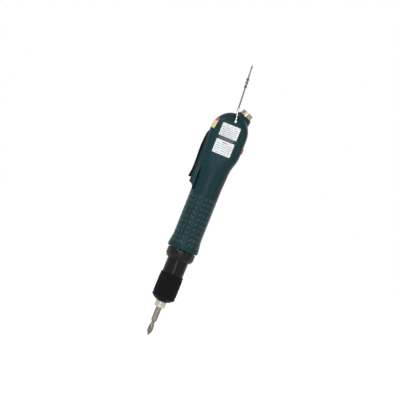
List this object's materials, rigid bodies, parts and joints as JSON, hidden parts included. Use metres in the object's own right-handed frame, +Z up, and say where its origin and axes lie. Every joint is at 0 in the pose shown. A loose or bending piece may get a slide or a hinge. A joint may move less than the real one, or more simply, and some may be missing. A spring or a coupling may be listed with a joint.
{
  "type": "electric torque screwdriver",
  "caption": "Slim lever-start electric torque screwdriver with a round textured grip, a torque setting sleeve at the nose, a hanging bail and a round power inlet.",
  "frame": {"origin": "on the spindle axis, at the shoulder where the nose barrel meets the lock ring and a torque arm's clamp stops", "axes": "+Z up the spindle axis towards the hanging eye, bit pointing down; the lever faces -X, the power connector leans towards +X and the labelled side faces -Y"},
  "size_m": [0.0523, 0.0432, 0.3618],
  "materials": {
    "green_shell": "moulded ABS, dark teal green, satin",
    "black_gloss": "smooth black, glossy",
    "black_matte": "matte black",
    "black_metal": "black coated light alloy",
    "steel": "turned steel",
    "bit_steel": "hardened tool steel",
    "spring_steel": "bright spring wire",
    "nickel": "polished nickel plate",
    "brass": "machined brass",
    "copper": "enamelled copper wire on a lamination stack",
    "magnet": "ferrite magnet",
    "carbon": "carbon brush",
    "board": "glass-epoxy circuit board",
    "parts": "moulded electronic parts",
    "switch": "switch body",
    "red": "red push-button",
    "label": "white label film",
    "strip": "dark grey strip",
    "sticker": "plain yellow film with a red end"
  },
  "bodies": {
    "body": {"housing_left": "green_shell", "housing_right": "green_shell", "lock_ring": "black_gloss", "front_case": "black_metal", "ring_gear": "steel", "motor_can": "steel", "motor_magnets": "magnet", "motor_end_cap": "black_matte", "carbon_brushes": "carbon", "motor_bushes": "brass", "motor_plate": "steel", "upper_bearing_outer": "steel", "lower_bearing_outer": "steel", "bearing_balls": "nickel", "circuit_board": "board", "board_parts": "parts", "lever_switch": "switch", "direction_switch": "switch", "connector_shell": "nickel", "connector_insert": "black_matte", "connector_contacts": "brass", "connector_nut": "steel", "label_upper": "label", "label_lower": "label", "label_strip": "strip", "front_sticker": "sticker", "housing_screws": "black_metal", "lever_pin": "steel", "lever_spring": "spring_steel", "button_spring": "spring_steel", "clutch_spring": "spring_steel"},
    "lever": {"lever": "black_matte"},
    "switch_plunger": {"switch_plunger": "red"},
    "reverse_button": {"reverse_button": "red"},
    "bail": {"bail": "spring_steel"},
    "spring_seat": {"spring_seat": "steel"},
    "torque_sleeve": {"torque_sleeve": "black_matte"},
    "rotor": {"armature": "copper", "commutator": "copper", "motor_shaft": "steel"},
    "first_carrier": {"first_carrier": "steel"},
    "planet_1a": {"planet_1a": "brass"},
    "planet_1b": {"planet_1b": "brass"},
    "planet_1c": {"planet_1c": "brass"},
    "output_carrier": {"output_carrier": "steel", "clutch_cam": "steel", "clutch_balls": "nickel", "upper_bearing_inner": "steel"},
    "planet_2a": {"planet_2a": "brass"},
    "planet_2b": {"planet_2b": "brass"},
    "planet_2c": {"planet_2c": "brass"},
    "spindle": {"spindle": "steel", "detent_balls": "nickel", "spindle_rings": "black_metal", "lower_bearing_inner": "steel", "bit": "bit_steel", "collar_spring": "spring_steel"},
    "clutch_plate": {"clutch_plate": "steel"},
    "bit_collar": {"bit_collar": "nickel"}
  },
  "joints": [
    {"name": "lever_pivot", "type": "hinge", "parent": "body", "child": "lever", "pos_m": [-0.0222, 0, 0.1605], "axis": [0, -1, 0], "range_deg": [0, 3], "stiffness_Nm_per_rad": 0.8, "springref_deg": -4.58, "deforming": ["lever_spring"]},
    {"name": "switch_press", "type": "slide", "parent": "body", "child": "switch_plunger", "axis": [1, 0, 0], "range_m": [0, 0.0021]},
    {"name": "button_press", "type": "slide", "parent": "body", "child": "reverse_button", "axis": [-1, 0, 0], "range_m": [0, 0.0016], "stiffness_N_per_m": 400, "springref_m": -0.004, "deforming": ["button_spring"]},
    {"name": "bail_swing", "type": "hinge", "parent": "body", "child": "bail", "pos_m": [0.0017, 0, 0.1859], "axis": [0, 1, 0], "range_deg": [-85, 95]},
    {"name": "seat_lift", "type": "slide", "parent": "body", "child": "spring_seat", "axis": [0, 0, 1], "range_m": [0, 0.006], "deforming": ["clutch_spring"]},
    {"name": "sleeve_turn", "type": "hinge", "parent": "spring_seat", "child": "torque_sleeve", "pos_m": [0, 0, -0.035], "axis": [0, 0, 1], "range_deg": [0, 1440]},
    {"name": "motor_spin", "type": "hinge", "parent": "body", "child": "rotor", "pos_m": [0, 0, 0.063], "axis": [0, 0, 1], "continuous": true},
    {"name": "first_carrier_spin", "type": "hinge", "parent": "body", "child": "first_carrier", "pos_m": [0, 0, 0.02], "axis": [0, 0, 1], "continuous": true},
    {"name": "planet_1a_spin", "type": "hinge", "parent": "first_carrier", "child": "planet_1a", "pos_m": [0.0075, 0, 0.0245], "axis": [0, 0, 1], "continuous": true},
    {"name": "planet_1b_spin", "type": "hinge", "parent": "first_carrier", "child": "planet_1b", "pos_m": [-0.00375, 0.0065, 0.0245], "axis": [0, 0, 1], "continuous": true},
    {"name": "planet_1c_spin", "type": "hinge", "parent": "first_carrier", "child": "planet_1c", "pos_m": [-0.00375, -0.0065, 0.0245], "axis": [0, 0, 1], "continuous": true},
    {"name": "output_carrier_spin", "type": "hinge", "parent": "body", "child": "output_carrier", "pos_m": [0, 0, 0.007], "axis": [0, 0, 1], "continuous": true},
    {"name": "planet_2a_spin", "type": "hinge", "parent": "output_carrier", "child": "planet_2a", "pos_m": [0.0075, 0, 0.012], "axis": [0, 0, 1], "continuous": true},
    {"name": "planet_2b_spin", "type": "hinge", "parent": "output_carrier", "child": "planet_2b", "pos_m": [-0.00375, 0.0065, 0.012], "axis": [0, 0, 1], "continuous": true},
    {"name": "planet_2c_spin", "type": "hinge", "parent": "output_carrier", "child": "planet_2c", "pos_m": [-0.00375, -0.0065, 0.012], "axis": [0, 0, 1], "continuous": true},
    {"name": "spindle_spin", "type": "hinge", "parent": "body", "child": "spindle", "pos_m": [0, 0, -0.04], "axis": [0, 0, 1], "continuous": true},
    {"name": "clutch_plate_drop", "type": "slide", "parent": "spindle", "child": "clutch_plate", "axis": [0, 0, -1], "range_m": [0, 0.0012], "stiffness_N_per_m": 2000, "springref_m": -0.01},
    {"name": "collar_pull", "type": "slide", "parent": "spindle", "child": "bit_collar", "axis": [0, 0, -1], "range_m": [0, 0.0018], "stiffness_N_per_m": 300, "springref_m": -0.004, "deforming": ["collar_spring"]}
  ],
  "couplings": [
    {"joint": "switch_press", "follows": "lever_pivot", "m_per_rad": 0.0385},
    {"joint": "sleeve_turn", "follows": "seat_lift", "rad_per_m": 4188.8},
    {"joint": "first_carrier_spin", "follows": "motor_spin", "ratio": 0.2},
    {"joint": "planet_1a_spin", "follows": "motor_spin", "ratio": -0.53333},
    {"joint": "planet_1b_spin", "follows": "motor_spin", "ratio": -0.53333},
    {"joint": "planet_1c_spin", "follows": "motor_spin", "ratio": -0.53333},
    {"joint": "output_carrier_spin", "follows": "motor_spin", "ratio": 0.04},
    {"joint": "planet_2a_spin", "follows": "motor_spin", "ratio": -0.10667},
    {"joint": "planet_2b_spin", "follows": "motor_spin", "ratio": -0.10667},
    {"joint": "planet_2c_spin", "follows": "motor_spin", "ratio": -0.10667},
    {"joint": "spindle_spin", "follows": "motor_spin", "ratio": 0.04}
  ]
}
